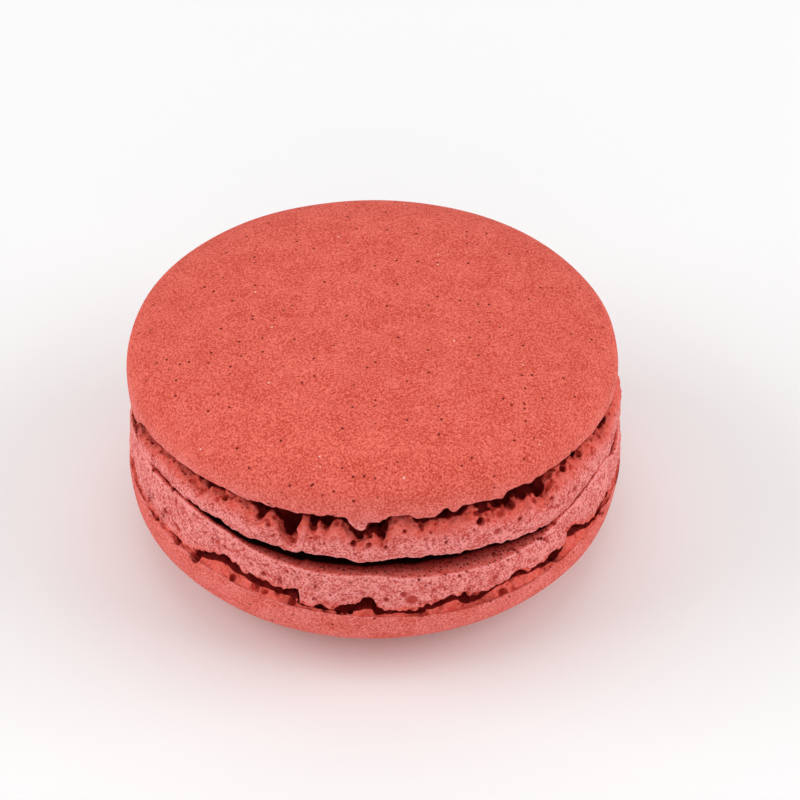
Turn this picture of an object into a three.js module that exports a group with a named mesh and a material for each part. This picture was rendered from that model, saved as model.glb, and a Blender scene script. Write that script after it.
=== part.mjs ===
// One macaron: two baked almond-meringue shells with their flat sides together and a thin
// filling between them. Millimetres, +Z up. The origin is the middle of the flat spot that
// the macaron stands on, and -Y is the side where the two shells stand slightly open.
//
// Each shell is one solid. From its flat side outwards it has a ragged porous foot, a torn
// recess all round, and a smooth domed skin whose edge turns under beside that recess.
// Azimuths go round from the front (-Y), positive towards +X.
import * as THREE from "three";

// Driving dimensions, in mm.
const TOP_RADIUS = 24.0; // widest part of the upper dome
const BOTTOM_RADIUS = 24.4; // widest part of the lower dome
const TOP_RISE = 6.6; // the upper dome's widest part up to its crown
const BOTTOM_RISE = 8.0; // the lower dome's widest part down to the flat spot that it stands on
const DOME_POWER = 2.6; // superellipse power: 2 is a plain ellipse, more is flatter on top
const TOP_WIDEST = 19.8; // height of the upper dome's widest part, at the axis
const TOP_LEAN = 0.07; // the upper dome's rise per mm towards the front
const TOP_SHIFT = -0.22; // the upper shell sits this far off the axis, along X
const REST_RADIUS = 5; // flat spot that the macaron stands on

const LOWER_FACE = 13.1; // flat side of the lower shell
const UPPER_FACE = 14.3; // flat side of the upper shell
const FILLING_RADIUS = 19.0;
const FACE_FLAT_RADIUS = 19.6; // outside this the flat sides bend up or down to their rims
const SEAM_SLOPE = 1.2; // the seam is this much higher at the left, and lower at the right
const LEFT_RISE = 1.0; // the lower foot rises again at the front left, where the slot closes
const RIGHT_RISE = 0.5; // and a little at the front right
const CLOSED_GAP = 0.3; // between the two feet where they meet
const SLOT_OPENING = 1.6; // extra gap at the front, where the shells stand open

const TOP_TUCK = 0.85; // the upper dome's widest part down to the skin's edge
const LEFT_DROP = 3.9; // the upper skin hangs lower at the left
const RIGHT_LIFT = 0.4; // and ends a little higher at the right
const LEAST_FOOT = 1.1; // foot and recess together are nowhere shorter than this
const BOTTOM_TUCK = 0.3; // the lower dome's widest part up to the skin's edge
const BOTTOM_TUCK_SLOPE = 0.4; // that edge is this much higher at the left
const TOP_RECESS = 1.2; // height of the torn gap between the upper foot and its skin's edge
const BOTTOM_RECESS = 1.35; // the same in the lower shell
const RECESS_DEPTH = 1.9; // how far the recess goes in from the skin's edge
const BRIDGE_RECESS = 0.4; // height that is left where crumb still joins the foot to the skin
const BRIDGE_DEPTH = 0.8; // and the depth that is left there
const RAGGED_EDGE = 0.4; // how much the foot's edge wanders
const RAGGED_FACE = 0.15; // how much the foot's face wanders

const SECTORS = 144; // round the axis

const DEGREE = Math.PI / 180;
const { lerp } = THREE.MathUtils;

// Angle from a centre to an azimuth, in degrees, -180 to 180.
function turnFrom(centreDegrees, azimuth) {
  const turn = azimuth - centreDegrees * DEGREE;
  return Math.atan2(Math.sin(turn), Math.cos(turn)) / DEGREE;
}

// 1 at a centre azimuth, easing to 0 a half-width away.
function swell(azimuth, centreDegrees, halfDegrees) {
  const share = Math.min(1, Math.abs(turnFrom(centreDegrees, azimuth)) / halfDegrees);
  return 0.5 + 0.5 * Math.cos(Math.PI * share);
}

// 0 before a start, 1 after an end, eased.
function ease(x, start, end) {
  return THREE.MathUtils.smoothstep(x, start, end);
}

// An uneven wave round the axis, about -1 to 1, that closes on itself.
function ragged(azimuth, phase) {
  const waves = [7, 12, 19, 31];
  const sum = waves.reduce((total, turns, i) => {
    return total + Math.sin(turns * azimuth + (i + 1) * phase) / (1 + 0.3 * i);
  }, 0);
  return 0.5 * sum;
}

// The two feet meet along a sloping seam, and the upper one stands open at the front.
function lowerRim(azimuth) {
  const risen = LEFT_RISE * swell(azimuth, -65, 40) + RIGHT_RISE * swell(azimuth, 62, 25);
  return LOWER_FACE - SEAM_SLOPE * Math.sin(azimuth) + risen;
}

function upperRim(azimuth) {
  const fromFront = turnFrom(0, azimuth);
  const open = ease(fromFront, -70, -5) * (1 - ease(fromFront, 28, 50));
  return lowerRim(azimuth) + CLOSED_GAP + SLOT_OPENING * open;
}

const topShell = {
  up: 1,
  shift: TOP_SHIFT,
  radius: TOP_RADIUS,
  rise: TOP_RISE,
  skinEdgeRadius: TOP_RADIUS - 0.35,
  footRadius: (azimuth) => TOP_RADIUS + 0.3 * Math.sin(azimuth),
  rimInset: 0.35,
  face: UPPER_FACE,
  rim: upperRim,
  phase: 1.3,
  widest: (azimuth, r) => TOP_WIDEST + r * TOP_LEAN * Math.cos(azimuth),
  tuck: (azimuth) =>
    TOP_TUCK +
    LEFT_DROP * swell(azimuth, -92, 50) -
    RIGHT_LIFT * swell(azimuth, 60, 40) +
    0.9 * swell(azimuth, -3.5, 3.5),
  recess: TOP_RECESS,
  // Where the foot's edge is torn back: azimuth, half-width, and how much taller the gap is.
  caves: [
    [-49, 5, 0.6],
    [-37, 4, 0.6],
    [-20.5, 5, 2.2],
    [-10, 4, 0.6],
    [2, 3, 0.9],
    [17, 4, 0.5],
    [29, 5, 0.4],
    [38, 5, 1.1],
    [45, 4, 0.6],
    [66, 5, 1.0],
    [95, 6, 0.7],
    [121, 6, 0.5],
    [152, 5, 1.0],
    [-176, 7, 0.5],
    [-148, 5, 0.9],
    [-118, 6, 0.5],
  ],
  // Where crumb still joins the foot to the skin: azimuth and half-width.
  bridges: [
    [-32.5, 3],
    [-4, 3],
    [21.5, 3],
    [107, 4],
    [-132, 4],
  ],
};

const bottomShell = {
  up: -1,
  shift: 0,
  radius: BOTTOM_RADIUS,
  rise: BOTTOM_RISE,
  skinEdgeRadius: BOTTOM_RADIUS - 0.1,
  footRadius: () => BOTTOM_RADIUS - 0.15,
  rimInset: 0.2,
  face: LOWER_FACE,
  rim: lowerRim,
  phase: 4.1,
  widest: () => BOTTOM_RISE,
  tuck: (azimuth) => BOTTOM_TUCK - BOTTOM_TUCK_SLOPE * Math.sin(azimuth),
  recess: BOTTOM_RECESS,
  caves: [
    [-66, 3, 1.3],
    [-59, 3, 1.0],
    [-40, 6, 1.1],
    [-28, 6, 0.5],
    [-19.5, 3, 0.9],
    [0, 3, 0.8],
    [12, 5, -0.8],
    [24, 4, 0.3],
    [33, 3, 0.6],
    [46, 4, 0.8],
    [52, 5, 1.3],
    [84, 6, 0.6],
    [110, 5, 0.9],
    [139, 6, 0.6],
    [167, 5, 1.1],
    [-160, 6, 0.6],
    [-130, 5, 1.0],
    [-101, 5, 0.7],
  ],
  bridges: [
    [-13, 3.5],
    [-6, 3],
    [6, 3],
    [29, 2.5],
    [60, 3],
    [125, 4],
    [-115, 4],
    [178, 4],
  ],
};

// The torn recess at one azimuth: how tall and how deep it is.
function recessAt(shell, azimuth, room) {
  const torn = shell.caves.reduce((sum, [at, half, tall]) => sum + tall * swell(azimuth, at, half), 0);
  const joined = Math.max(...shell.bridges.map(([at, half]) => swell(azimuth, at, half)));
  const open = Math.max(0.5, shell.recess + RAGGED_EDGE * ragged(azimuth, shell.phase) + torn);
  const tall = lerp(open, BRIDGE_RECESS, joined);
  return {
    tall: Math.min(tall, room * 0.45),
    deep: lerp(RECESS_DEPTH + 0.25 * torn, BRIDGE_DEPTH, joined),
  };
}

// One shell's section at an azimuth, from the middle of its flat side out over the foot and
// the recess and round to the crown of its dome, as [radius, height] pairs.
function section(shell, azimuth) {
  const { up, face, radius, rise, skinEdgeRadius } = shell;
  const rim = shell.rim(azimuth);
  const footRadius = shell.footRadius(azimuth) + RAGGED_FACE * ragged(azimuth, 2.2 * shell.phase);
  const rimRadius = footRadius - shell.rimInset;
  const freeEdge = shell.widest(azimuth, skinEdgeRadius) - up * shell.tuck(azimuth);
  const room = Math.max(LEAST_FOOT, up * (freeEdge - rim));
  const skinEdge = rim + up * room;
  const { tall, deep } = recessAt(shell, azimuth, room);
  const footEdge = skinEdge - up * tall;
  const widest = shell.widest(azimuth, radius);

  const onFace = (r) => [r, lerp(face, rim, ease(r, FACE_FLAT_RADIUS, rimRadius - 0.6))];
  const onFoot = (r, share) => [r, lerp(rim, footEdge, share)];
  const inRecess = (r, share) => [r, lerp(footEdge, skinEdge, share)];

  const points = [
    [0, face],
    [FACE_FLAT_RADIUS, face],
    onFace(rimRadius - 2.2),
    onFace(rimRadius - 0.25),
    onFoot(rimRadius, 0.07),
    onFoot(footRadius, 0.35),
    onFoot(footRadius - 0.05, 0.68),
    onFoot(footRadius - 0.4, 0.92),
    onFoot(footRadius - 1.0, 1),
    inRecess(skinEdgeRadius - deep, 0.15),
    inRecess(skinEdgeRadius - deep, 0.8),
    inRecess(skinEdgeRadius - 0.25, 1),
    [skinEdgeRadius, lerp(skinEdge, widest, 0.1)],
    [radius - 0.05, lerp(skinEdge, widest, 0.55)],
  ];
  for (const turn of [0, 10, 20, 31, 43, 57, 72]) {
    const r = radius * Math.cos(turn * DEGREE) ** (2 / DOME_POWER);
    const lift = rise * Math.sin(turn * DEGREE) ** (2 / DOME_POWER);
    points.push([r, shell.widest(azimuth, r) + up * lift]);
  }
  if (up < 0) points.splice(-1, 1, [REST_RADIUS, 0]);
  points.push([0, shell.widest(azimuth, 0) + up * rise]);
  return points;
}

// A lathe gives the rings, and each sector's points are then moved to their own section.
function shellGeometry(shell) {
  const outward = (azimuth) => (shell.up > 0 ? section(shell, azimuth) : section(shell, azimuth).reverse());
  const profile = outward(0).map(([r, z]) => new THREE.Vector2(r, z));
  const geometry = new THREE.LatheGeometry(profile, SECTORS);
  const position = geometry.attributes.position;
  for (let i = 0; i <= SECTORS; i++) {
    const azimuth = (2 * Math.PI * i) / SECTORS;
    outward(azimuth).forEach(([r, z], j) => {
      const x = shell.shift + r * Math.sin(azimuth);
      position.setXYZ(i * profile.length + j, x, -r * Math.cos(azimuth), z);
    });
  }
  return geometry;
}

// The filling is a disc with a rounded edge, set back from the slot.
function fillingGeometry() {
  const half = (UPPER_FACE - LOWER_FACE) / 2;
  const profile = [new THREE.Vector2(0, LOWER_FACE)];
  for (let turn = -90; turn <= 90; turn += 30) {
    const r = FILLING_RADIUS - half + half * Math.cos(turn * DEGREE);
    profile.push(new THREE.Vector2(r, LOWER_FACE + half + half * Math.sin(turn * DEGREE)));
  }
  profile.push(new THREE.Vector2(0, UPPER_FACE));
  return new THREE.LatheGeometry(profile, SECTORS / 2).rotateX(Math.PI / 2);
}

const shellMaterial = new THREE.MeshStandardMaterial({ color: 0xdd5d50, roughness: 0.85, metalness: 0 });
const fillingMaterial = new THREE.MeshStandardMaterial({ color: 0x7a1815, roughness: 0.5, metalness: 0 });

const pieces = {
  shell_bottom: new THREE.Mesh(shellGeometry(bottomShell), shellMaterial.clone()),
  filling: new THREE.Mesh(fillingGeometry(), fillingMaterial),
  shell_top: new THREE.Mesh(shellGeometry(topShell), shellMaterial.clone()),
};

const macaron = new THREE.Group();
for (const [name, mesh] of Object.entries(pieces)) {
  mesh.name = name;
  macaron.add(mesh);
}

export default macaron;
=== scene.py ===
"""One macaron on a pale floor: two baked almond-meringue shells and the filling between them.

Each shell is a ball spun from a half-circle of stations, from the middle of its flat side out over
the porous foot and the torn recess and round the smooth skin to the crown. Every station is then
carried to its own place, and lumps, torn edges and burst bubbles are pressed into the crumb.
Shapes are worked out in millimetres and put into the meshes in metres. An azimuth goes round from
the front (-Y), positive towards +X.

What the photograph shows was read off where the line of sight meets an upright cylinder
round the macaron, as azimuths in degrees and heights in mm. The back is guessed.
"""
import math

import bmesh
import bpy
import numpy as np
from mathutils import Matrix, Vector
from mathutils.kdtree import KDTree


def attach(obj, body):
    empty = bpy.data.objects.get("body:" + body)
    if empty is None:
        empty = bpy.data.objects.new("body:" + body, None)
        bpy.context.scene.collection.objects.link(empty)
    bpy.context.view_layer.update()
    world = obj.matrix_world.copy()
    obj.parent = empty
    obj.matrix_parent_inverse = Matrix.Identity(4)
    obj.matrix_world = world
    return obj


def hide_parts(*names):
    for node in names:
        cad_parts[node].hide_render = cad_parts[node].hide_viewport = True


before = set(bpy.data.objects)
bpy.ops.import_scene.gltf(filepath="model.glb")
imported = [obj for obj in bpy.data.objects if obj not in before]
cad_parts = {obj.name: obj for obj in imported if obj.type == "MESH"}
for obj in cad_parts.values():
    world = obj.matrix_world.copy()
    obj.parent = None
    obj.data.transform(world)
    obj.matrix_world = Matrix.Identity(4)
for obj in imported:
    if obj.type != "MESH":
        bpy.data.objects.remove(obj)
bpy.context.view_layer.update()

MM = 0.001

# The shells' main sizes, in mm, as in the part's source.
TOP_RADIUS = 24.0
BOTTOM_RADIUS = 24.4
TOP_RISE = 6.6
BOTTOM_RISE = 8.0
DOME_POWER = 2.6
TOP_WIDEST = 19.8
TOP_LEAN = 0.07
TOP_SHIFT = -0.22
REST_RADIUS = 5.0
LOWER_FACE = 13.1
UPPER_FACE = 14.3
FILLING_RADIUS = 19.0
FACE_FLAT_RADIUS = 19.6
SEAM_SLOPE = 1.2
LEFT_RISE = 1.0
CLOSED_GAP = 0.3
SLOT_OPENING = 1.6
TOP_TUCK = 0.85
LEFT_DROP = 3.9
LEAST_FOOT = 1.1
BOTTOM_TUCK = 0.3
BOTTOM_TUCK_SLOPE = 0.4
# How much further out the upper foot is on the right than in the middle.
FOOT_LEAN = 0.3

# The stations along a shell's section, in the order that section() gives them.
FACE_FLAT = 1
RIM = 4
FOOT_EDGE = 8
SKIN_EDGE = 12
WIDEST = 14
DOME_TURNS = (0, 10, 20, 31, 43, 57, 72)
CROWN = WIDEST + len(DOME_TURNS)

# Rows of vertices between a station and the next, where that isn't SKIN_ROWS.
ROWS = {0: 1, 1: 1, 2: 7, 3: 2, 4: 8, 5: 10, 6: 9, 7: 8, 8: 8, 9: 7, 10: 9, 11: 4, 12: 6}
SKIN_ROWS = 4

# How finely the shells are divided: steps of the spin, and cuts in each step of the crumb, which
# is finer on the side that the photograph shows.
SPIN_STEPS = 240
FRONT_HALF_ANGLE = 82.0
FRONT_CUTS = 5
BACK_CUTS = 2

# The photograph's camera: degrees above the horizon, and mm.
CAMERA_ELEVATION = 42.0
CAMERA_DISTANCE = 450.0
CAMERA_AIM = (2.5, 0.0, 14.41)
CAMERA_LENS = 205.4
SIGHT_SLOPE = math.tan(math.radians(CAMERA_ELEVATION))

# The cylinder on which the photograph was read, and where the readings give way to the guessed
# back, in degrees from the front.
READ_RADIUS = 24.2
READ_LIMIT = 66.0
BACK_LIMIT = 80.0


def degrees_from(centre, azimuth):
    """Angle from a centre, in degrees, to an azimuth, -180 to 180."""
    turn = azimuth - math.radians(centre)
    return np.degrees(np.arctan2(np.sin(turn), np.cos(turn)))


def swell(azimuth, centre, half):
    """1 at a centre azimuth, easing to 0 a half-width away."""
    share = np.minimum(1, np.abs(degrees_from(centre, azimuth)) / half)
    return 0.5 + 0.5 * np.cos(np.pi * share)


def ease(value, start, end):
    """0 before a start, 1 after an end, eased."""
    share = np.clip((value - start) / (end - start), 0, 1)
    return share * share * (3 - 2 * share)


def band(value, start, full, end, gone):
    """1 between two values and easing to 0 outside them."""
    return ease(value, start, full) * (1 - ease(value, end, gone))


def mix(a, b, share):
    return a + (b - a) * share


class Lumps:
    """Seeded smooth noise in space, about -1 to 1, on a lattice that repeats."""

    SIDE = 48

    def __init__(self, seed):
        self.lattice = np.random.default_rng(seed).uniform(-1, 1, (self.SIDE,) * 3)

    def at(self, points, size):
        """The noise at points in mm, with lumps about size mm across."""
        place = points / size
        cell = np.floor(place).astype(int)
        part = place - cell
        part = part * part * (3 - 2 * part)
        total = np.zeros(len(points))
        for corner in np.ndindex(2, 2, 2):
            weight = np.prod(np.where(corner, part, 1 - part), axis=1)
            x, y, z = ((cell + corner) % self.SIDE).T
            total += weight * self.lattice[x, y, z]
        return 1.6 * total

    def rough(self, points, size, layers=3):
        """Layers of the noise, each half the size and strength of the last."""
        return sum(self.at(points + 7.3 * i, size / 2**i) / 2**i for i in range(layers))


def on_circle(azimuth, radius=24.0):
    """Points in mm on a level circle, for noise that closes on itself."""
    return np.stack([radius * np.sin(azimuth), -radius * np.cos(azimuth), 0 * azimuth], axis=1)


class ReadLine:
    """An edge read off the photograph, carried along the line of sight to the edge's own radius."""

    def __init__(self, readings, radius, shift=0.0, softness=0.6, lean=0.0):
        places = []
        for azimuth, height in readings:
            sideways = math.sin(math.radians(azimuth))
            leaning_radius = radius + lean * sideways
            turn = math.asin((READ_RADIUS * sideways - shift) / leaning_radius)
            behind = READ_RADIUS * math.cos(math.radians(azimuth)) - leaning_radius * math.cos(turn)
            places.append((math.degrees(turn), height - SIGHT_SLOPE * behind))
        self.azimuths, self.heights = np.array(places).T
        self.softness = softness

    def at(self, azimuth, back):
        """The edge's height at each azimuth, given its guessed height at the back."""
        from_front = degrees_from(0, azimuth)
        around = from_front[:, None] + self.softness * np.array([-1, -0.5, 0, 0.5, 1])
        read = np.interp(around, self.azimuths, self.heights) @ np.array([1, 2, 3, 2, 1]) / 9
        return mix(read, back, ease(np.abs(from_front), READ_LIMIT, BACK_LIMIT))


def torn_back(shell, azimuth):
    """How far the foot's edge is torn back from the skin where nothing was read."""
    ring = on_circle(azimuth)
    edge = Lumps(shell.seed)
    ragged = 0.35 * edge.at(ring, 3.0) + 0.24 * edge.at(ring + 5, 1.1)
    torn = sum(tall * swell(azimuth, at, half) for at, half, tall in shell.caves)
    joined = np.max([swell(azimuth, at, half) for at, half in shell.bridges], axis=0)
    return mix(np.maximum(0.5, shell.recess + torn) + ragged, 0.4, joined)


def lower_rim(azimuth):
    return LOWER_FACE - SEAM_SLOPE * np.sin(azimuth) + LEFT_RISE * swell(azimuth, -65, 40)


class TopShell:
    """The upper shell: its lip hangs over a deep torn recess, ragged at the front and right."""

    name = "top_shell"
    node = "shell_top"
    up = 1
    seed = 11
    shift = TOP_SHIFT
    radius = TOP_RADIUS
    rise = TOP_RISE
    skin_edge_radius = TOP_RADIUS - 0.35
    rim_inset = 0.35
    rim_waver = 0.09
    lip_waver = 0.1
    # The foot's rounding: how far in from its radius, at shares of its height.
    foot_rounding = [(0.35, 0.0), (0.66, 0.05), (0.9, 0.45), (1.0, 1.1)]
    face = UPPER_FACE
    recess = 1.2
    recess_depth = 1.7
    # How far in the recess's ceiling, or the lower shell's shelf, starts; and where the painted shade in the
    # recess ends.
    shelf_inset = 1.2
    shade_end = 11.7
    crease = 0.0
    lip_tuck = 0.22
    torn_start = RIM + 1.3
    sheen_end = 15.2
    # Torn caves of the back: azimuth, half-width, how much taller the recess is.
    caves = [
        (66, 5, 1.0), (95, 6, 0.7), (121, 6, 0.5), (152, 5, 1.0), (-176, 7, 0.5), (-148, 5, 0.9), (-118, 6, 0.5),
    ]
    # Where crumb still joins the foot to the skin: azimuth and half-width.
    bridges = [(107, 4), (-132, 4)]
    rim_read = ReadLine([
        (-68, 16.45), (-62, 16.4), (-57, 16.6), (-50, 16.4), (-44.6, 16.25), (-43.3, 16.6), (-42.3, 16.25),
        (-37, 16.45), (-33, 16.0), (-30, 15.75), (-26.5, 15.9), (-21, 15.65), (-17.2, 15.45), (-16.4, 15.9),
        (-15.6, 15.6), (-6.4, 15.75), (-3, 15.5), (0, 15.7), (5, 15.85), (9.3, 15.5), (13, 15.7), (19, 15.35),
        (28, 15.3), (31, 14.95), (36, 14.65), (42, 14.45), (48, 14.2), (53, 14.3), (60, 14.8), (68, 15.4),
    ], TOP_RADIUS - 0.47, TOP_SHIFT, 0.4, FOOT_LEAN)
    lip_read = ReadLine([
        (-73, 18.9), (-69, 19.4), (-65.5, 19.9), (-57, 20.2), (-52, 20.5), (-44, 20.7), (-39, 20.8), (-35.6, 21.0),
        (-32.6, 20.85), (-28, 20.7), (-25.7, 20.9), (-16, 20.95), (-11.6, 21.1), (-9, 21.4), (-6, 21.2),
        (-5.4, 20.7), (-4.6, 20.0), (-3.6, 19.5), (-2.5, 19.5), (-1.7, 20.1), (-0.9, 20.6), (0.9, 20.7),
        (2.9, 21.1), (3.5, 21.5), (6, 21.6), (8.3, 21.4), (9.9, 20.7), (12.8, 20.6), (15.1, 21.1), (15.7, 21.7),
        (16.7, 21.7), (17.4, 21.0), (18.7, 20.9), (20.2, 21.5), (24, 21.5), (27, 21.1), (30.2, 20.7),
        (30.8, 21.5), (32.5, 21.8), (35, 21.6), (37.8, 20.9), (38.8, 21.5), (41, 21.4), (43.7, 21.75),
        (46, 21.4), (49, 21.6), (51, 21.3), (54.5, 21.6), (57.8, 21.6), (59.5, 21.1), (60.3, 21.6), (68, 21.7),
    ], TOP_RADIUS - 0.35, TOP_SHIFT, 0.3)
    edge_read = ReadLine([
        (-68, 18.9), (-65, 19.6), (-62.5, 19.1), (-60.5, 19.6), (-56, 20.0), (-51, 20.2), (-49, 19.9),
        (-47, 19.7), (-45, 20.2), (-43.5, 19.8), (-41.6, 19.3), (-40, 20.2), (-37, 19.9), (-34.5, 20.3),
        (-32.8, 20.2), (-32.3, 20.9), (-29.6, 20.9), (-28.5, 20.3), (-25.7, 19.5), (-23.5, 19.9), (-22, 19.6),
        (-21.3, 18.9), (-20.5, 17.8), (-19, 17.4), (-17.8, 17.6), (-16.7, 19.2), (-15.8, 20.5), (-14.8, 20.3),
        (-14.3, 19.4), (-13, 19.4), (-12, 20.5), (-10.5, 19.8), (-8, 20.7), (-6.5, 20.1), (-5, 19.5), (-3.5, 18.8),
        (-2.4, 18.9), (-1.4, 19.6), (0.7, 19.4), (1.3, 18.9), (2.1, 18.7), (2.9, 19.6), (3.5, 20.5), (5, 21.1),
        (7, 20.8), (8.5, 20.9), (10, 19.9), (12.5, 20.2), (15.5, 20.3), (19.7, 20.5), (21, 20.8), (22.6, 21.1),
        (24, 20.7), (26.5, 20.0), (29.3, 20.0), (30, 20.4), (31, 19.7), (32, 19.5), (33.5, 20.1), (34.7, 19.7),
        (36, 20.3), (38, 19.8), (40.2, 19.0), (41.1, 19.8), (42, 20.7), (44.5, 21.1), (47, 21.0), (51, 20.9),
        (52, 20.6), (53, 21.2), (58, 21.3), (60, 21.2), (63.5, 19.7), (65, 18.9), (66, 19.6), (68, 20.9),
    ], TOP_RADIUS - 1.0, TOP_SHIFT, 0.25)
    # Bubbles that stand out: azimuth, height, radius and depth.
    bubbles = [
        (-38.4, 18.8, 0.34, 0.25), (-39.8, 17.8, 0.15, 0.2), (-36.3, 17.7, 0.12, 0.15), (-49.6, 17.9, 0.2, 0.2),
        (-46.6, 19.3, 0.25, 0.25), (-24.3, 18.3, 0.28, 0.3), (-27.3, 17.8, 0.25, 0.12), (-12.1, 17.3, 0.13, 0.25),
        (-13.4, 16.5, 0.14, 0.12), (-10.8, 18.0, 0.13, 0.2), (-13.1, 18.3, 0.2, 0.15), (-6.9, 17.2, 0.12, 0.25),
        (-8.7, 17.25, 0.08, 0.2), (-4.1, 17.8, 0.36, 0.45), (-3.2, 19.1, 0.4, 0.6), (-1.1, 17.55, 0.33, 0.35),
        (2.5, 17.3, 0.22, 0.35), (1.8, 19.1, 0.35, 0.6), (7.1, 19.2, 0.26, 0.35), (5.0, 18.4, 0.18, 0.15),
        (11.2, 19.5, 0.25, 0.25), (13.5, 17.0, 0.16, 0.15), (16.4, 17.05, 0.17, 0.3), (17.2, 17.3, 0.2, 0.15),
        (16.4, 17.9, 0.2, 0.12), (25.3, 18.7, 0.48, 0.8), (29.4, 16.5, 0.45, 0.25), (30.2, 16.4, 0.15, 0.15),
        (35.3, 16.8, 0.27, 0.4), (36.4, 15.4, 0.2, 0.15), (36.9, 17.2, 0.2, 0.12), (32.8, 17.5, 0.15, 0.15),
        (36, 18.0, 0.15, 0.15), (43.2, 19.1, 0.3, 0.3), (44.8, 17.1, 0.28, 0.4), (45.6, 16.9, 0.25, 0.12),
        (46.8, 15.6, 0.24, 0.25), (46.8, 18.2, 0.3, 0.2), (49.6, 18.0, 0.3, 0.12), (51, 16.3, 0.24, 0.35),
        (53.2, 15.8, 0.42, 0.22), (55, 17.2, 0.3, 0.12), (57.8, 17.5, 0.32, 0.14), (60.7, 18.9, 0.28, 0.2),
        (49, 20.2, 0.4, 0.6), (51.6, 21.0, 0.3, 0.4), (54.5, 20.0, 0.3, 0.2), (31.9, 19.4, 0.5, 0.3),
    ]

    @staticmethod
    def foot_radius(azimuth):
        return TOP_RADIUS + FOOT_LEAN * np.sin(azimuth)

    @staticmethod
    def widest(azimuth, r):
        return TOP_WIDEST + r * TOP_LEAN * np.cos(azimuth)

    @classmethod
    def smooth_lip(cls, azimuth):
        """Where the skin would end if its edge weren't torn."""
        tuck = TOP_TUCK + LEFT_DROP * swell(azimuth, -92, 50)
        return cls.widest(azimuth, cls.skin_edge_radius) - tuck

    @classmethod
    def edges(cls, azimuth):
        """Heights of the foot's rim and edge, the recess's ceiling and the skin's edge."""
        from_front = degrees_from(0, azimuth)
        open_share = ease(from_front, -70, -5) * (1 - ease(from_front, 28, 50))
        rim = cls.rim_read.at(azimuth, lower_rim(azimuth) + CLOSED_GAP + SLOT_OPENING * open_share)
        lip_back = np.maximum(cls.smooth_lip(azimuth), rim + LEAST_FOOT)
        lip = cls.lip_read.at(azimuth, lip_back)
        edge_back = lip_back - np.clip(torn_back(cls, azimuth), 0.2, 0.45 * (lip_back - rim))
        edge = np.minimum(cls.edge_read.at(azimuth, edge_back), lip - 0.15)
        return rim, np.maximum(edge, rim + 0.5), lip - 0.1, lip


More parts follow.
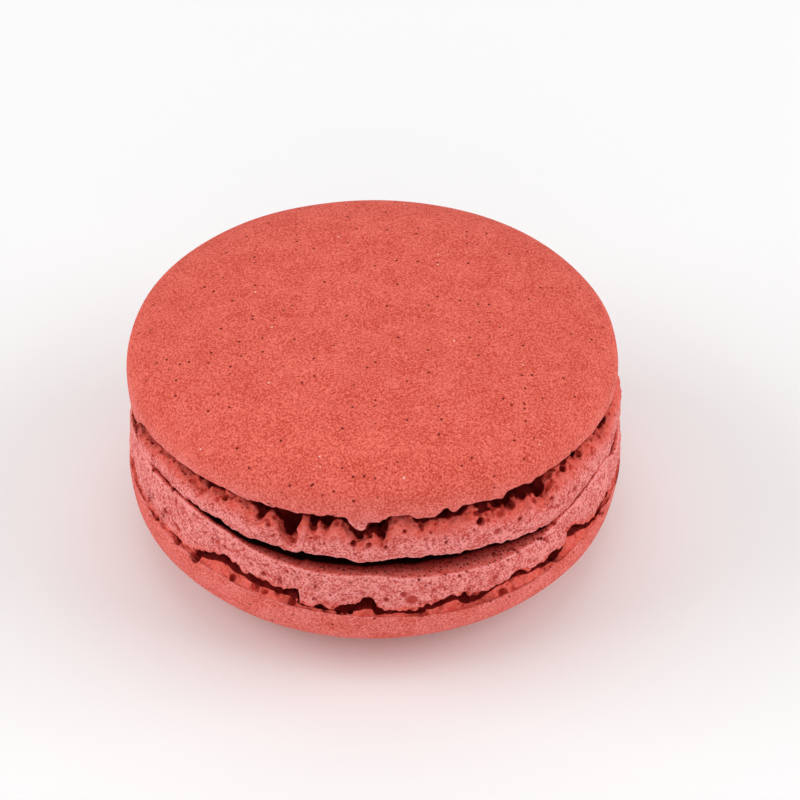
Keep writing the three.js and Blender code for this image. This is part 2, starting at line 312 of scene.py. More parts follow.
class BottomShell:
    """The lower shell: its recess is a narrow crack over a sloping shelf of crumb."""

    name = "bottom_shell"
    node = "shell_bottom"
    up = -1
    seed = 23
    shift = 0.0
    radius = BOTTOM_RADIUS
    rise = BOTTOM_RISE
    skin_edge_radius = BOTTOM_RADIUS - 0.1
    rim_inset = 0.2
    rim_waver = 0.02
    lip_waver = 0.02
    foot_rounding = [(0.35, 0.0), (0.7, 0.05), (0.95, 0.2), (1.0, 0.6)]
    face = LOWER_FACE
    recess = 0.9
    recess_depth = 1.3
    shelf_inset = 0.55
    shade_end = 10.1
    crease = 0.3
    lip_tuck = 0.1
    torn_start = RIM + 2.2
    sheen_end = 17.0
    caves = [
        (66, 3, 1.0), (84, 6, 0.6), (110, 5, 0.9), (139, 6, 0.6), (167, 5, 1.1), (-160, 6, 0.6),
        (-130, 5, 1.0), (-101, 5, 0.7),
    ]
    bridges = [(125, 4), (-115, 4), (178, 4)]
    rim_read = ReadLine([
        (-68, 16.0), (-57, 15.9), (-50, 15.9), (-45, 15.8), (-40, 15.4), (-35, 15.0), (-30, 14.45), (-25, 14.1),
        (-20, 13.9), (-15, 13.75), (-8, 13.7), (0, 13.55), (5, 13.4), (10, 13.3), (15, 13.1), (20, 12.95),
        (26, 12.85), (35, 12.9), (39, 12.9), (42, 13.2), (45, 13.7), (48, 13.95), (53, 14.0), (60, 14.5),
        (68, 15.1),
    ], BOTTOM_RADIUS - 0.35, 0.0, 1.5)
    edge_read = ReadLine([
        (-68, 9.8), (-60, 9.7), (-56, 9.75), (-52.3, 9.7), (-51, 10.0), (-49.5, 10.4), (-46.5, 10.3),
        (-45.8, 10.0), (-44, 10.5), (-40.5, 10.9), (-39.3, 11.4), (-37.5, 11.7), (-35.5, 11.65), (-33, 11.3),
        (-30, 10.7), (-29, 10.8), (-26.5, 10.5), (-25, 10.75), (-23, 10.7), (-21, 10.35), (-18.5, 10.7),
        (-17.2, 10.7), (-16.9, 9.1), (-16, 8.85), (-14.5, 9.0), (-11.6, 9.4), (-11.1, 8.7), (-10.3, 8.65),
        (-9.3, 9.0), (-6.8, 9.5), (-3, 9.65), (-2.2, 10.2), (-1.2, 10.4), (-0.1, 10.2), (0.4, 9.2), (2, 9.1),
        (2.6, 8.8), (4, 8.8), (5.2, 9.1), (11, 9.2), (14, 9.35), (15.2, 9.7), (19.5, 10.1), (21.3, 10.05),
        (21.9, 9.5), (24.5, 9.3), (25.2, 9.5), (27.2, 9.4), (28.5, 9.65), (30.8, 9.7), (33.5, 10.55),
        (34.6, 10.5), (36, 10.0), (37.5, 9.75), (42, 9.85), (45, 9.9), (46, 10.2), (47, 9.8), (48.9, 9.75),
        (49.4, 11.4), (51.5, 11.6), (53.5, 11.2), (55, 10.5), (57, 10.0), (60, 9.0), (61.5, 9.2), (68, 9.5),
    ], BOTTOM_RADIUS - 0.5, 0.0, 0.2)
    shelf_read = ReadLine([
        (-68, 9.7), (-57, 9.6), (-52.5, 9.55), (-50, 9.9), (-46, 9.85), (-42.5, 10.0), (-39.5, 10.6),
        (-37, 11.1), (-35, 10.9), (-33, 10.3), (-31, 10.3), (-28, 10.0), (-22, 9.9), (-17.4, 9.7), (-16.9, 8.8),
        (-12, 9.0), (-11, 8.65), (-10, 8.6), (-7, 8.9), (-5.5, 8.75), (-4, 9.2), (-2, 9.4), (-0.4, 9.4),
        (0.4, 8.9), (1.5, 8.6), (4, 8.5), (5.5, 8.75), (9, 8.65), (12, 8.75), (15, 9.0), (17, 9.4), (19.5, 9.3),
        (20.5, 8.8), (21.5, 8.5), (23, 8.4), (25, 8.6), (27, 9.2), (28.2, 9.5), (30.5, 9.6), (33, 9.8),
        (36, 9.5), (40, 9.3), (42, 8.9), (44.5, 8.65), (46, 8.4), (47.2, 9.0), (48.9, 9.6), (49.5, 10.8),
        (51.5, 10.4), (55, 10.0), (57.5, 9.3), (60, 8.85), (61.5, 9.1), (68, 9.4),
    ], BOTTOM_RADIUS - 0.65, 0.0, 0.3)
    skin_read = ReadLine([
        (-68, 9.1), (-50, 9.1), (-40, 9.0), (-30, 8.7), (-20, 8.5), (-10, 8.4), (0, 8.3), (10, 8.05),
        (20, 7.8), (28, 7.7), (35, 7.7), (40, 7.85), (55, 8.1), (68, 8.2),
    ], BOTTOM_RADIUS - 0.1, 0.0, 2.0)
    bubbles = [
        (-40, 13.3, 0.17, 0.3), (-36.4, 13.0, 0.2, 0.25), (-32.4, 13.0, 0.3, 0.12), (-46.2, 13.1, 0.2, 0.15),
        (-42, 14.3, 0.16, 0.12), (-29.3, 12.3, 0.28, 0.2), (-35.2, 12.3, 0.15, 0.12), (-25.7, 11.5, 0.3, 0.3),
        (-26.9, 12.4, 0.13, 0.12), (-25.2, 13.4, 0.14, 0.1), (-20.1, 12.95, 0.18, 0.35), (-17.7, 13.0, 0.1, 0.3),
        (-14.8, 12.9, 0.21, 0.25), (-17.5, 12.4, 0.14, 0.25), (-11.7, 12.4, 0.13, 0.25), (-14.4, 11.8, 0.12, 0.15),
        (-12.3, 11.3, 0.17, 0.15), (-20.2, 12.1, 0.14, 0.12), (-1.7, 12.95, 0.14, 0.25), (-4.4, 12.8, 0.12, 0.12),
        (-7.7, 11.7, 0.14, 0.15), (-6.2, 11.0, 0.13, 0.15), (-11.8, 10.5, 0.12, 0.15), (2.5, 10.5, 0.27, 0.3),
        (7.0, 11.0, 0.4, 0.25), (8.5, 10.2, 0.7, 0.22), (4.2, 9.9, 0.3, 0.1), (10.4, 12.75, 0.15, 0.3),
        (12.2, 11.9, 0.17, 0.25), (13.0, 12.1, 0.16, 0.25), (16.5, 13.1, 0.12, 0.3), (16.6, 12.7, 0.1, 0.25),
        (6.4, 12.4, 0.25, 0.1), (10, 11.3, 0.16, 0.15), (16.4, 11.3, 0.18, 0.15), (13.4, 10.6, 0.15, 0.12),
        (20, 12.3, 0.17, 0.3), (21.8, 12.7, 0.14, 0.3), (28.8, 10.5, 0.38, 0.18), (28.7, 13.8, 0.2, 0.25),
        (33.4, 13.55, 0.16, 0.3), (34.2, 13.25, 0.16, 0.3), (35, 12.9, 0.14, 0.3), (35.5, 12.5, 0.12, 0.2),
        (36.6, 13.5, 0.13, 0.2), (41, 13.2, 0.17, 0.35), (42.2, 12.8, 0.2, 0.4), (43.1, 12.3, 0.18, 0.4),
        (44.1, 11.8, 0.15, 0.3), (39.2, 12.2, 0.12, 0.15), (56, 12.1, 0.27, 0.2), (45.5, 14.0, 0.25, 0.25),
        (-67, 10.1, 0.4, 0.8), (-65.8, 10.7, 0.5, 1.1), (-64.3, 11.3, 0.5, 1.1), (-63.2, 11.7, 0.35, 0.7),
        (-59, 10.1, 0.3, 0.7), (-58.3, 10.8, 0.35, 0.9), (-57.5, 11.4, 0.35, 0.9), (-56.8, 11.9, 0.25, 0.6),
        (-52.5, 11.2, 0.6, 0.3), (-55.2, 14.0, 0.35, 0.2), (-53.8, 15.8, 0.3, 0.4), (-62, 16.1, 0.3, 0.3),
        (-33.6, 9.5, 0.38, 0.5), (-28.5, 9.3, 0.45, 0.4), (-27.2, 9.3, 0.3, 0.4), (-18.9, 9.3, 0.5, 0.6),
        (-22.7, 9.9, 0.35, 0.3), (-5.4, 9.0, 0.4, 0.5), (29.7, 8.6, 0.22, 0.25), (33.2, 9.2, 0.16, 0.2),
        (35.8, 9.4, 0.22, 0.3), (31.2, 9.5, 0.2, 0.15), (45.4, 9.1, 0.5, 0.8), (42.5, 9.2, 0.4, 0.4),
        (24, 8.9, 0.5, 0.7), (54.5, 9.5, 0.3, 0.4), (67.5, 9.9, 0.35, 0.6), (66.5, 9.4, 0.28, 0.4),
    ]

    @staticmethod
    def foot_radius(azimuth):
        return BOTTOM_RADIUS - 0.15 + 0 * azimuth

    @staticmethod
    def widest(azimuth, r):
        return BOTTOM_RISE + 0 * azimuth

    @staticmethod
    def smooth_lip(azimuth):
        return BOTTOM_RISE + BOTTOM_TUCK - BOTTOM_TUCK_SLOPE * np.sin(azimuth)

    @classmethod
    def edges(cls, azimuth):
        """Heights of the foot's rim and edge, the shelf's start and the skin's edge."""
        rim = cls.rim_read.at(azimuth, lower_rim(azimuth))
        skin_back = np.minimum(cls.smooth_lip(azimuth), rim - LEAST_FOOT)
        skin = cls.skin_read.at(azimuth, skin_back)
        edge_back = skin_back + np.clip(torn_back(cls, azimuth), 0.5, 0.45 * (rim - skin_back))
        edge = np.clip(cls.edge_read.at(azimuth, edge_back), skin + 0.25, rim - 0.5)
        shelf = cls.shelf_read.at(azimuth, mix(edge_back, skin_back, 0.6))
        return rim, edge, np.clip(shelf, skin + 0.15, edge - 0.1), skin


def slot_opening(azimuth):
    """Height of the slot between the two rims, in mm."""
    return np.maximum(0.4, TopShell.edges(azimuth)[0] - BottomShell.edges(azimuth)[0])



def section(shell, azimuth):
    """Each station's radius and height in mm, as two arrays of one row per station."""
    ring = on_circle(azimuth)
    waver = Lumps(shell.seed + 1)
    up = shell.up
    rim, foot_edge, shelf, skin_edge = shell.edges(azimuth)
    rim = rim + shell.rim_waver * (waver.at(ring, 0.7) + 0.7 * waver.at(ring + 1, 0.3))
    skin_edge = skin_edge + shell.lip_waver * (waver.at(ring + 8, 0.8) + 0.7 * waver.at(ring + 9, 0.35))
    foot_edge = foot_edge - up * 0.12 * np.abs(waver.at(ring + 2, 0.8) + 0.7 * waver.at(ring + 4, 0.4))
    foot_radius = shell.foot_radius(azimuth) + 0.15 * waver.at(ring, 4.0)
    rim_radius = foot_radius - shell.rim_inset
    edge_radius = shell.skin_edge_radius
    tall = np.abs(shelf - foot_edge)
    deep = shell.recess_depth * ease(tall, 0, 0.5) + 0.3 * tall
    inset = shell.shelf_inset * (0.6 + 0.4 * ease(tall, 0.3, 1.0))
    widest = shell.widest(azimuth, shell.radius)

    def on_face(r):
        return r, mix(shell.face, rim, ease(r, FACE_FLAT_RADIUS, rim_radius - 0.6))

    points = [
        (0, shell.face),
        (FACE_FLAT_RADIUS, shell.face),
        on_face(rim_radius - 2.2),
        on_face(rim_radius - 0.12),
        (rim_radius, mix(rim, foot_edge, 0.04)),
        *[(foot_radius - inward, mix(rim, foot_edge, share)) for share, inward in shell.foot_rounding],
        (edge_radius - np.maximum(deep, inset), mix(foot_edge, shelf, 0.2)),
        (edge_radius - inset, shelf),
        (edge_radius - shell.lip_tuck, mix(skin_edge, shelf, 0.06)),
        (edge_radius, mix(skin_edge, widest, 0.08)),
        (shell.radius - 0.05, mix(skin_edge, widest, 0.55)),
    ]
    for turn in DOME_TURNS:
        r = shell.radius * math.cos(math.radians(turn)) ** (2 / DOME_POWER)
        lift = shell.rise * math.sin(math.radians(turn)) ** (2 / DOME_POWER)
        points.append((r, shell.widest(azimuth, r) + up * lift))
    if up < 0:
        points[-1] = (REST_RADIUS, 0)
    points.append((0, shell.widest(azimuth, 0) + up * shell.rise))
    radii = np.stack([r + 0 * azimuth for r, z in points])
    heights = np.stack([z + 0 * azimuth for r, z in points])
    return radii, heights


def between_stations(rows, along, mirror):
    """A smooth curve through each column's station values, read at each column's place along it.

    The curve never swings past a station. Mirror is -1 for radii and 1 for heights, which carries
    the curve on over the axis.
    """
    rows = np.concatenate([mirror * rows[1:2], rows, mirror * rows[-2:-1]])
    station = np.clip(np.floor(along).astype(int), 0, CROWN - 1)
    part = along - station
    column = np.arange(len(along))
    before, start, end, after = (rows[station + i, column] for i in range(4))

    def slope(a, b):
        agree = a * b > 0
        return np.where(agree, 2 * a * b / np.where(agree, a + b, 1), 0)

    leave = slope(start - before, end - start)
    arrive = slope(end - start, after - end)
    square, cube = part**2, part**3
    return (
        start * (2 * cube - 3 * square + 1)
        + leave * (cube - 2 * square + part)
        + end * (3 * square - 2 * cube)
        + arrive * (cube - square)
    )


def spun_ball(shell):
    """A ball of rings whose vertices carry how far along the section they are."""
    ball = bmesh.new()
    along = ball.verts.layers.float.new("along")
    places = [station + i / ROWS.get(station, SKIN_ROWS)
              for station in range(CROWN) for i in range(ROWS.get(station, SKIN_ROWS))]
    meridian = []
    for place in places + [CROWN]:
        angle = math.pi * place / CROWN
        vertex = ball.verts.new((math.sin(angle), 0, -shell.up * math.cos(angle)))
        vertex[along] = place
        meridian.append(vertex)
    edges = [ball.edges.new(pair) for pair in zip(meridian, meridian[1:])]
    bmesh.ops.spin(
        ball, geom=meridian + edges, cent=(0, 0, 0), axis=(0, 0, 1), angle=2 * math.pi,
        steps=SPIN_STEPS, use_merge=True,
    )
    bmesh.ops.remove_doubles(ball, verts=ball.verts[:], dist=1e-5)

    def in_crumb(edge):
        a, b = (vertex[along] for vertex in edge.verts)
        return abs(a - b) < 1e-4 and FACE_FLAT + 0.5 < a < SKIN_EDGE + 1.9

    def in_front(edge):
        middle = (edge.verts[0].co + edge.verts[1].co) / 2
        return abs(math.degrees(math.atan2(middle.x, -middle.y))) < FRONT_HALF_ANGLE

    around = [edge for edge in ball.edges if in_crumb(edge)]
    front = [edge for edge in around if in_front(edge)]
    back = [edge for edge in around if not in_front(edge)]
    bmesh.ops.subdivide_edges(ball, edges=front, cuts=FRONT_CUTS, use_grid_fill=True)
    bmesh.ops.subdivide_edges(ball, edges=back, cuts=BACK_CUTS, use_grid_fill=True)
    bmesh.ops.recalc_face_normals(ball, faces=ball.faces[:])
    return ball


def coordinates(mesh):
    flat = np.empty(len(mesh.vertices) * 3, dtype=np.float32)
    mesh.vertices.foreach_get("co", flat)
    return flat.reshape(-1, 3).astype(float)


def set_coordinates(mesh, points):
    mesh.vertices.foreach_set("co", points.astype(np.float32).ravel())
    mesh.update()


def normals(mesh):
    flat = np.empty(len(mesh.vertices) * 3, dtype=np.float32)
    mesh.vertex_normals.foreach_get("vector", flat)
    return flat.reshape(-1, 3).astype(float)


def attribute_values(mesh, name):
    values = np.empty(len(mesh.vertices), dtype=np.float32)
    mesh.attributes[name].data.foreach_get("value", values)
    return values.astype(float)


def set_attribute(mesh, name, values):
    layer = mesh.attributes.new(name, "FLOAT", "POINT")
    layer.data.foreach_set("value", values.astype(np.float32))


class Crumb:
    """A shell's relief: every push and burst bubble is pressed into the mesh as it is made."""

    def __init__(self, shell, mesh):
        self.mesh = mesh
        self.rng = np.random.default_rng(shell.seed + 5)
        self.along = attribute_values(mesh, "along")
        self.points = coordinates(mesh) / MM
        self.azimuth = np.arctan2(self.points[:, 0] - shell.shift, -self.points[:, 1])
        self.hollow_shade = np.zeros(len(self.points))
        from_front = np.abs(degrees_from(0, self.azimuth))
        self.rarity = np.where(from_front < FRONT_HALF_ANGLE, BACK_CUTS + 1.0, FRONT_CUTS + 1.0)

    def push(self, distance):
        """Moves every vertex along its normal, in mm."""
        self.points += distance[:, None] * normals(self.mesh)
        set_coordinates(self.mesh, self.points * MM)

    def scattered(self, count, start, end):
        """Vertices picked at random between two places along the section, evenly over the surface."""
        spots = np.flatnonzero((self.along > start) & (self.along < end))
        share = self.rarity[spots]
        return self.rng.choice(spots, count, p=share / share.sum())

    def seen(self, azimuth, height):
        """The vertex that the photograph shows at a place read on the cylinder."""
        x, y, z = self.points.T
        before = np.sqrt(np.maximum(0, READ_RADIUS**2 - x**2))
        across = x - READ_RADIUS * math.sin(math.radians(azimuth))
        away = np.hypot(across, z + SIGHT_SLOPE * (y + before) - height)
        close = np.flatnonzero(away < away.min() + 0.12)
        return close[np.argmax(z[close] * SIGHT_SLOPE - y[close])]

    def burst(self, picks, radii, depths):
        """Presses a round hollow into the surface at each picked vertex."""
        tree = KDTree(len(self.points))
        for index, point in enumerate(self.points):
            tree.insert(point, index)
        tree.balance()
        outward = normals(self.mesh)
        start = self.points.copy()
        for pick, radius, depth in zip(picks, radii, depths):
            found = np.array([index for _, index, _ in tree.find_range(start[pick], radius)])
            gap = np.linalg.norm(start[found] - start[pick], axis=1) / radius
            bowl = np.sqrt(np.maximum(0, 1 - gap**2))
            self.points[found] -= depth * bowl[:, None] * outward[pick]
            # How deep each vertex lies in a bubble, kept for the painted shade in its hollow.
            self.hollow_shade[found] = np.maximum(self.hollow_shade[found], bowl * min(1, depth / 0.5))
        set_coordinates(self.mesh, self.points * MM)

    def burst_at_random(self, picks, radii, depths):
        """Bursts with radii in mm and depths as shares of the radius, between given bounds."""
        sizes = self.rng.uniform(*radii, len(picks))
        self.burst(picks, sizes, sizes * self.rng.uniform(*depths, len(picks)))


def crumb_relief(shell, mesh):
    """Lumps, torn walls and burst bubbles of one shell, and the attributes that its finish reads."""
    crumb = Crumb(shell, mesh)
    lumps = Lumps(shell.seed + 2)
    along, points = crumb.along, crumb.points
    torn_off = shell.up * (shell.smooth_lip(crumb.azimuth) + shell.up * 0.2 - points[:, 2])
    hanging = (along > SKIN_EDGE - 1) * (along < WIDEST) * (shell.up > 0) * ease(torn_off, 0, 0.4)
    foot = band(along, RIM - 0.1, RIM + 0.8, FOOT_EDGE - 0.2, FOOT_EDGE + 0.6)
    foot_top = band(along, RIM + 2.2, FOOT_EDGE - 0.6, FOOT_EDGE + 0.4, FOOT_EDGE + 1)
    recess = band(along, FOOT_EDGE - 0.3, FOOT_EDGE + 0.6, SKIN_EDGE - 1.2, SKIN_EDGE - 0.3)
    skin = ease(along, SKIN_EDGE, WIDEST)
    grain = lumps.at(points + 3, 0.8) + 0.6 * lumps.at(points + 5, 0.4)
    crumb.push(
        foot * 0.08 * lumps.at(points, 2.6)
        + foot_top * 0.16 * lumps.rough(points + 11, 1.1)
        + recess * 0.2 * lumps.rough(points + 17, 1.1)
        + np.maximum(np.maximum(foot, recess), hanging) * 0.07 * grain
        + skin * 0.05 * lumps.at(points + 23, 9.0)
    )

    crumb.burst_at_random(crumb.scattered(70, FOOT_EDGE, SKIN_EDGE - 0.8), (0.4, 0.7), (0.5, 1.0))
    crumb.burst_at_random(crumb.scattered(110, RIM + 3.1, FOOT_EDGE + 0.6), (0.25, 0.45), (0.4, 0.9))
    azimuths, heights, radii, depths = zip(*shell.bubbles)
    crumb.burst([crumb.seen(*pair) for pair in zip(azimuths, heights)], radii, depths)
    crumb.burst_at_random(crumb.scattered(220, FOOT_EDGE - 0.6, SKIN_EDGE - 0.4), (0.15, 0.32), (0.5, 1.2))
    crumb.burst_at_random(crumb.scattered(40, RIM + 0.4, FOOT_EDGE - 0.4), (0.2, 0.32), (0.4, 1.0))
    crumb.burst_at_random(crumb.scattered(380, RIM + 0.2, FOOT_EDGE - 0.2), (0.11, 0.18), (0.8, 1.6))

    torn_along = along + 0.3 * lumps.rough(points + 43, 0.9)
    # Painted shade deep in the torn recess, up to shade_end; the bubbles' painted shade is weaker on the lit
    # shelf.
    deep = band(torn_along, FOOT_EDGE - 0.3, FOOT_EDGE + 0.25, 90, 99) * (along < shell.shade_end)
    on_shelf = ease(along, shell.shade_end, shell.shade_end + 0.2)
    # Painted shade in the crease under the skin's edge.
    crease = shell.crease * band(along, SKIN_EDGE - 1.1, SKIN_EDGE - 0.8, SKIN_EDGE - 0.5, SKIN_EDGE - 0.1)
    frayed = along + 0.25 * lumps.at(points + 41, 0.8)
    radius = np.hypot(points[:, 0] - shell.shift, points[:, 1])
    rim_radius = shell.foot_radius(crumb.azimuth) - shell.rim_inset
    # How far into the slot each vertex of the flat side lies, for the painted shade in the slot.
    slot_depth = (rim_radius - radius) / slot_opening(crumb.azimuth)
    # A pale line along the foot's rim, a painted highlight.
    rim_highlight = band(along, RIM - 0.3, RIM - 0.08, RIM + 0.05, RIM + 0.25)
    not_skin = 1 - ease(frayed, SKIN_EDGE - 0.4, SKIN_EDGE + 0.4)
    set_attribute(mesh, "crumb", np.maximum(not_skin, hanging))
    # Painted shade in the bubbles, the torn recess and the crease.
    set_attribute(mesh, "hollow_shade", np.maximum.reduce([crumb.hollow_shade * (1 - 0.4 * on_shelf), deep, crease]))
    # Painted highlight: paler on raised crumb and along the rim, with painted shade in the dips.
    set_attribute(mesh, "crest_highlight", 0.5 + 0.25 * grain + 0.6 * rim_highlight)
    torn = band(along, shell.torn_start, FOOT_EDGE - 0.9, SKIN_EDGE - 1, SKIN_EDGE - 0.2)
    set_attribute(mesh, "torn", torn)
    # A painted sheen: the skin is paler near its edge, where it faces sideways.
    set_attribute(mesh, "painted_sheen", 1 - ease(along, shell.sheen_end - 1.6, shell.sheen_end))
    set_attribute(mesh, "face", 1 - ease(along, RIM - 1.0, RIM - 0.3))
    # Painted shade in the slot between the shells, read by the finish.
    set_attribute(mesh, "slot_shade_depth", (along < RIM) * np.clip(slot_depth, 0, 2))


def shell_piece(shell, material):
    ball = spun_ball(shell)
    mesh = bpy.data.meshes.new(shell.name)
    ball.to_mesh(mesh)
    ball.free()
    along = attribute_values(mesh, "along")
    spots = coordinates(mesh)
    azimuth = np.arctan2(spots[:, 0], -spots[:, 1])
    radii, heights = section(shell, azimuth)
    r = np.maximum(0, between_stations(radii, along, -1))
    z = between_stations(heights, along, 1)
    points = np.stack([shell.shift + r * np.sin(azimuth), -r * np.cos(azimuth), z], axis=1)
    set_coordinates(mesh, points * MM)
    crumb_relief(shell, mesh)
    return finished_piece(mesh, shell.name, shell.node, material)


def finished_piece(mesh, name, node, material):
    mesh.shade_smooth()
    mesh.materials.append(material)
    piece = bpy.data.objects.new(name, mesh)
    bpy.context.scene.collection.objects.link(piece)
    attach(piece, "root")
    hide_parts(node)
    return piece


def filling_piece(material):
    """The filling: a disc with a rounded, slightly wavy edge."""
    half = (UPPER_FACE - LOWER_FACE) / 2
    disc = bmesh.new()
    profile = [disc.verts.new((0, 0, -half))]
    for turn in range(-90, 91, 15):
        r = FILLING_RADIUS - half + half * math.cos(math.radians(turn))
        profile.append(disc.verts.new((r, 0, half * math.sin(math.radians(turn)))))
    profile.append(disc.verts.new((0, 0, half)))
    edges = [disc.edges.new(pair) for pair in zip(profile, profile[1:])]
    bmesh.ops.spin(
        disc, geom=profile + edges, cent=(0, 0, 0), axis=(0, 0, 1), angle=2 * math.pi,
        steps=SPIN_STEPS, use_merge=True,
    )
    bmesh.ops.remove_doubles(disc, verts=disc.verts[:], dist=1e-5)
    bmesh.ops.recalc_face_normals(disc, faces=disc.faces[:])
    mesh = bpy.data.meshes.new("filling_disc")
    disc.to_mesh(mesh)
    disc.free()
    points = coordinates(mesh)
    azimuth = np.arctan2(points[:, 0], -points[:, 1])
    r = np.hypot(points[:, 0], points[:, 1])
    wave = 0.35 * Lumps(5).at(on_circle(azimuth), 3.0) * ease(r, FILLING_RADIUS - 3, FILLING_RADIUS)
    points[:, :2] *= (1 - (0.35 + wave) / FILLING_RADIUS)[:, None]
    points[:, 2] += LOWER_FACE + half
    set_coordinates(mesh, points * MM)
    return finished_piece(mesh, "filling_disc", "filling", material)


class Value:
    """A shader socket that can be used in sums like a number."""

    def __init__(self, finish, socket):
        self.finish = finish
        self.socket = socket

    def _sum(self, operation, *values):
        return self.finish.add("ShaderNodeMath", {"operation": operation}, dict(enumerate(values)))

    def __add__(self, other):
        return self._sum("ADD", self, other)

    def __sub__(self, other):
        return self._sum("SUBTRACT", self, other)

    def __rsub__(self, other):
        return self._sum("SUBTRACT", other, self)

    def __mul__(self, other):
        return self._sum("MULTIPLY", self, other)

    def __lt__(self, other):
        return self._sum("LESS_THAN", self, other)

    __radd__ = __add__
    __rmul__ = __mul__


class Finish:
    """A material's nodes, added one call at a time."""

    def __init__(self, name, roughness, specular):
        self.material = bpy.data.materials.new(name)
        self.material.use_nodes = True
        self.tree = self.material.node_tree
        self.shader = self.tree.nodes["Principled BSDF"]
        self.shader.inputs["Roughness"].default_value = roughness
        self.shader.inputs["Specular IOR Level"].default_value = specular
        self.place = self.add("ShaderNodeTexCoord", {}, {}, "Object")

    def add(self, kind, settings, inputs, output=0):
        """Adds a node: its settings are set first, then its sockets' values or links."""
        node = self.tree.nodes.new(kind)
        for key, value in settings.items():
            setattr(node, key, value)
        for key, value in inputs.items():
            if isinstance(value, Value):
                self.tree.links.new(value.socket, node.inputs[key])
            else:
                node.inputs[key].default_value = value
        return Value(self, node.outputs[output])

    def feed(self, socket, value):
        self.tree.links.new(value.socket, self.shader.inputs[socket])

    def moved(self, offset):
        return self.add("ShaderNodeVectorMath", {"operation": "ADD"}, {0: self.place, 1: offset})

    def noise(self, size, detail=2.0, offset=(0, 0, 0), roughness=0.5):
        """Noise from 0 to 1 whose lumps are about size mm across."""
        scale = 1 / (size * MM)
        inputs = {"Vector": self.moved(offset), "Scale": scale, "Detail": detail, "Roughness": roughness}
        return self.add("ShaderNodeTexNoise", {}, inputs)

    def dots(self, spacing, radius, share, offset=(0, 0, 0)):
        """1 inside small round dots: spacing and radius in mm, and the share of places that have one."""
        inputs = {"Vector": self.moved(offset), "Scale": 1 / (spacing * MM)}
        distance = self.add("ShaderNodeTexVoronoi", {}, inputs, "Distance")
        colour = Value(self, distance.socket.node.outputs["Color"])
        chance = self.add("ShaderNodeSeparateColor", {}, {0: colour})
        return self.spread(distance, radius / spacing, 0.5 * radius / spacing) * (chance < share)

    def spread(self, value, start, end):
        """0 at the start and 1 at the end, eased."""
        inputs = {"Value": value, "From Min": start, "From Max": end}
        return self.add("ShaderNodeMapRange", {"interpolation_type": "SMOOTHSTEP"}, inputs)

    def colour_mix(self, share, a, b, blend="MIX"):
        return self.add("ShaderNodeMix", {"data_type": "RGBA", "blend_type": blend}, {0: share, 6: a, 7: b}, 2)

    def attribute(self, name):
        return self.add("ShaderNodeAttribute", {"attribute_name": name}, {}, "Fac")

    def bump(self, height, depth):
        """A normal from a height of 0 to 1, depth mm deep."""
        inputs = {"Height": height, "Distance": depth * MM, "Strength": 1.0}
        return self.add("ShaderNodeBump", {}, inputs, "Normal")


SKIN_DARK = (0.54, 0.052, 0.033, 1)
SKIN_LIGHT = (0.88, 0.19, 0.142, 1)
# The skin's paler painted sheen near its edge.
SHEEN_DARK = (0.6, 0.09, 0.075, 1)
SHEEN_LIGHT = (0.88, 0.25, 0.225, 1)
SPECK = (0.9, 0.6, 0.55, 1)
CRUMB_RED = (0.56, 0.075, 0.06, 1)
CRUMB_LIGHT = (0.9, 0.31, 0.295, 1)
CRUMB_WARM = (0.74, 0.085, 0.05, 1)
# The crumb's deeper red in its hollows together with painted shade, then near-black painted shade.
HOLLOW_RED_AND_SHADE = (0.42, 0.022, 0.014, 1)
DEEP_SHADE = (0.09, 0.001, 0.001, 1)
PINHOLE = (0.15, 0.01, 0.008, 1)
PORE = (0.28, 0.018, 0.014, 1)
# Painted shade in the slot: a darkening tint, then a near-black painted shadow.
SLOT_SHADE_TINT = (0.4, 0.16, 0.16, 1)
SLOT_SHADOW_BLACK = (0.012, 0.0, 0.0, 1)


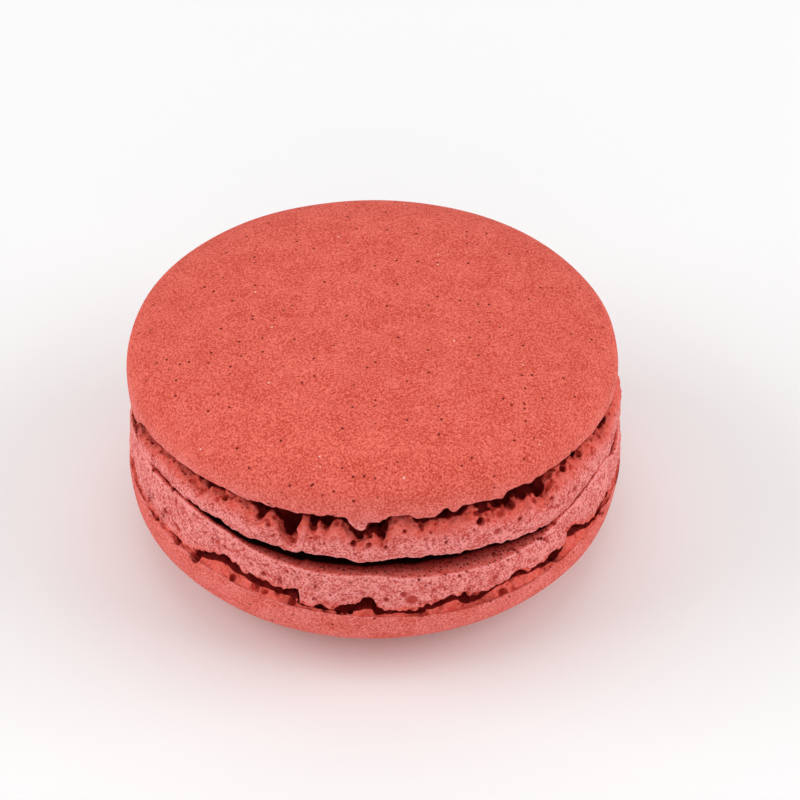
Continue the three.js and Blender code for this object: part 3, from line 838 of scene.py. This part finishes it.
def shell_finish():
    """Matt baked meringue: a grained skin with pinholes and a painted sheen near its edge, and paler crumb with
    painted highlights on its crests, deep red with painted shade in its hollows, and painted shade in the slot.
    """
    finish = Finish("baked_shell_finish", 0.8, 0.08)
    crumb = finish.attribute("crumb")
    hollow_shade = finish.attribute("hollow_shade")
    crest_highlight = finish.attribute("crest_highlight")
    torn = finish.attribute("torn")
    painted_sheen = finish.attribute("painted_sheen")
    face = finish.attribute("face")
    slot_shade_depth = finish.attribute("slot_shade_depth")

    grain = finish.noise(0.2, 2.0, roughness=0.6)
    cloud = finish.noise(2.5, 3.0, (0.04, 0.01, 0.02))
    grain_share = finish.spread(grain + cloud * 0.2 - 0.1, 0.3, 0.7)
    # Painted sheen near the skin's edge, patchy.
    sheen_share = painted_sheen * (finish.spread(cloud, 0.25, 0.7) * 0.5 + 0.35)
    skin = finish.colour_mix(grain_share, SKIN_DARK, SKIN_LIGHT)
    sheen = finish.colour_mix(grain_share, SHEEN_DARK, SHEEN_LIGHT)
    skin = finish.colour_mix(sheen_share, skin, sheen)
    pinhole = finish.dots(1.0, 0.18, 0.4)
    skin = finish.colour_mix(pinhole * 0.95, skin, PINHOLE)
    skin = finish.colour_mix(finish.dots(1.6, 0.12, 0.2, (0.05, 0.03, 0.01)), skin, SPECK)

    mottle = finish.noise(0.22, 2.0, (0.02, 0.05, 0.01), 0.6)
    patch = finish.noise(0.7, 3.0, (0.07, 0.02, 0.03), 0.6)
    # Painted highlight on crests and along the rim, painted shade in the dips.
    tone = mottle + patch * 0.3 + crest_highlight * 0.2 - 0.25
    inside = finish.colour_mix(finish.spread(tone, 0.34, 0.64), CRUMB_RED, CRUMB_LIGHT)
    warm = torn * 0.7 + finish.spread(patch, 0.55, 0.75) * 0.3
    inside = finish.colour_mix(warm, inside, CRUMB_WARM)
    pore = finish.dots(0.6, 0.13, 0.5, (0.03, 0.02, 0.05))
    inside = finish.colour_mix(pore * 0.8, inside, PORE)
    face_pore = finish.dots(0.36, 0.14, 0.8, (0.01, 0.07, 0.02))
    inside = finish.colour_mix(face * 0.5, inside, CRUMB_WARM)
    inside = finish.colour_mix(face * face_pore, inside, PINHOLE)
    # Painted shade in the bubbles, the torn recess and the crease: deeper red, then near black.
    ragged = hollow_shade + (mottle - 0.5) * 0.6
    inside = finish.colour_mix(finish.spread(ragged, 0.08, 0.4) * 0.75, inside, HOLLOW_RED_AND_SHADE)
    inside = finish.colour_mix(finish.spread(ragged, 0.4, 0.8) * 0.95, inside, DEEP_SHADE)
    # Painted shade in the slot: the flat side darkens, then turns black, further in.
    slot_shade = slot_shade_depth + (mottle - 0.5) * 0.2
    inside = finish.colour_mix(finish.spread(slot_shade, 0.0, 1.0), inside, SLOT_SHADE_TINT, "MULTIPLY")
    inside = finish.colour_mix(finish.spread(slot_shade, 0.85, 1.1), inside, SLOT_SHADOW_BLACK)

    finish.feed("Base Color", finish.colour_mix(crumb, skin, inside))
    dips = pinhole * (1 - crumb) + crumb * pore
    height = grain * 0.3 + mottle * crumb * 0.5 - dips * 0.6
    finish.feed("Normal", finish.bump(height, 0.08))
    return finish.material


def filling_finish():
    """Smooth dark red filling, with a slight sheen."""
    finish = Finish("filling_finish", 0.45, 0.5)
    streak = finish.noise(1.5, 3.0)
    shade = finish.spread(streak, 0.3, 0.7)
    finish.feed("Base Color", finish.colour_mix(shade, (0.12, 0.006, 0.005, 1), (0.2, 0.012, 0.01, 1)))
    finish.feed("Normal", finish.bump(streak, 0.1))
    return finish.material


def floor_finish():
    finish = Finish("floor_finish", 0.9, 0.1)
    tint = finish.noise(300.0, 2.0)
    finish.feed("Base Color", finish.colour_mix(tint, (0.92, 0.92, 0.92, 1), (0.94, 0.94, 0.94, 1)))
    return finish.material


def pale_floor():
    bpy.ops.mesh.primitive_plane_add(size=6)
    floor = bpy.context.object
    floor.name = "floor"
    floor.data.materials.append(floor_finish())


def camera():
    lens = bpy.data.cameras.new("camera")
    lens.lens = CAMERA_LENS
    lens.clip_start = 0.01
    eye = bpy.data.objects.new("camera", lens)
    tilt = math.radians(CAMERA_ELEVATION)
    back = Vector((0, -math.cos(tilt), math.sin(tilt)))
    eye.location = (Vector(CAMERA_AIM) + CAMERA_DISTANCE * back) * MM
    eye.rotation_euler = (math.radians(90 - CAMERA_ELEVATION), 0, 0)
    bpy.context.scene.collection.objects.link(eye)
    bpy.context.scene.camera = eye


def soft_light(name, azimuth, elevation, distance, size, power):
    """A square soft light that points at the macaron: angles in degrees, lengths in metres."""
    lamp = bpy.data.lights.new(name, "AREA")
    lamp.size = size
    lamp.energy = power
    light = bpy.data.objects.new(name, lamp)
    side, tilt = math.radians(azimuth), math.radians(elevation)
    away = Vector((math.sin(side) * math.cos(tilt), -math.cos(side) * math.cos(tilt), math.sin(tilt)))
    light.location = away * distance
    light.rotation_euler = away.to_track_quat("Z", "Y").to_euler()
    bpy.context.scene.collection.objects.link(light)


def studio():
    """Two soft boxes at the sides, one overhead, a weak one in front and even light all round."""
    world = bpy.data.worlds.new("studio")
    world.use_nodes = True
    world.node_tree.nodes["Background"].inputs["Color"].default_value = (1, 1, 1, 1)
    world.node_tree.nodes["Background"].inputs["Strength"].default_value = 0.45
    bpy.context.scene.world = world
    soft_light("overhead", 180, 72, 0.8, 0.7, 1.3)
    soft_light("left_box", -85, 32, 0.8, 0.6, 2.8)
    soft_light("right_box", 85, 32, 0.8, 0.6, 2.7)
    soft_light("front_box", 0, 25, 0.8, 0.8, 1.2)
    bpy.context.scene.view_settings.view_transform = "Standard"


camera()
studio()
pale_floor()
baked = shell_finish()
shell_piece(BottomShell, baked)
filling_piece(filling_finish())
shell_piece(TopShell, baked)
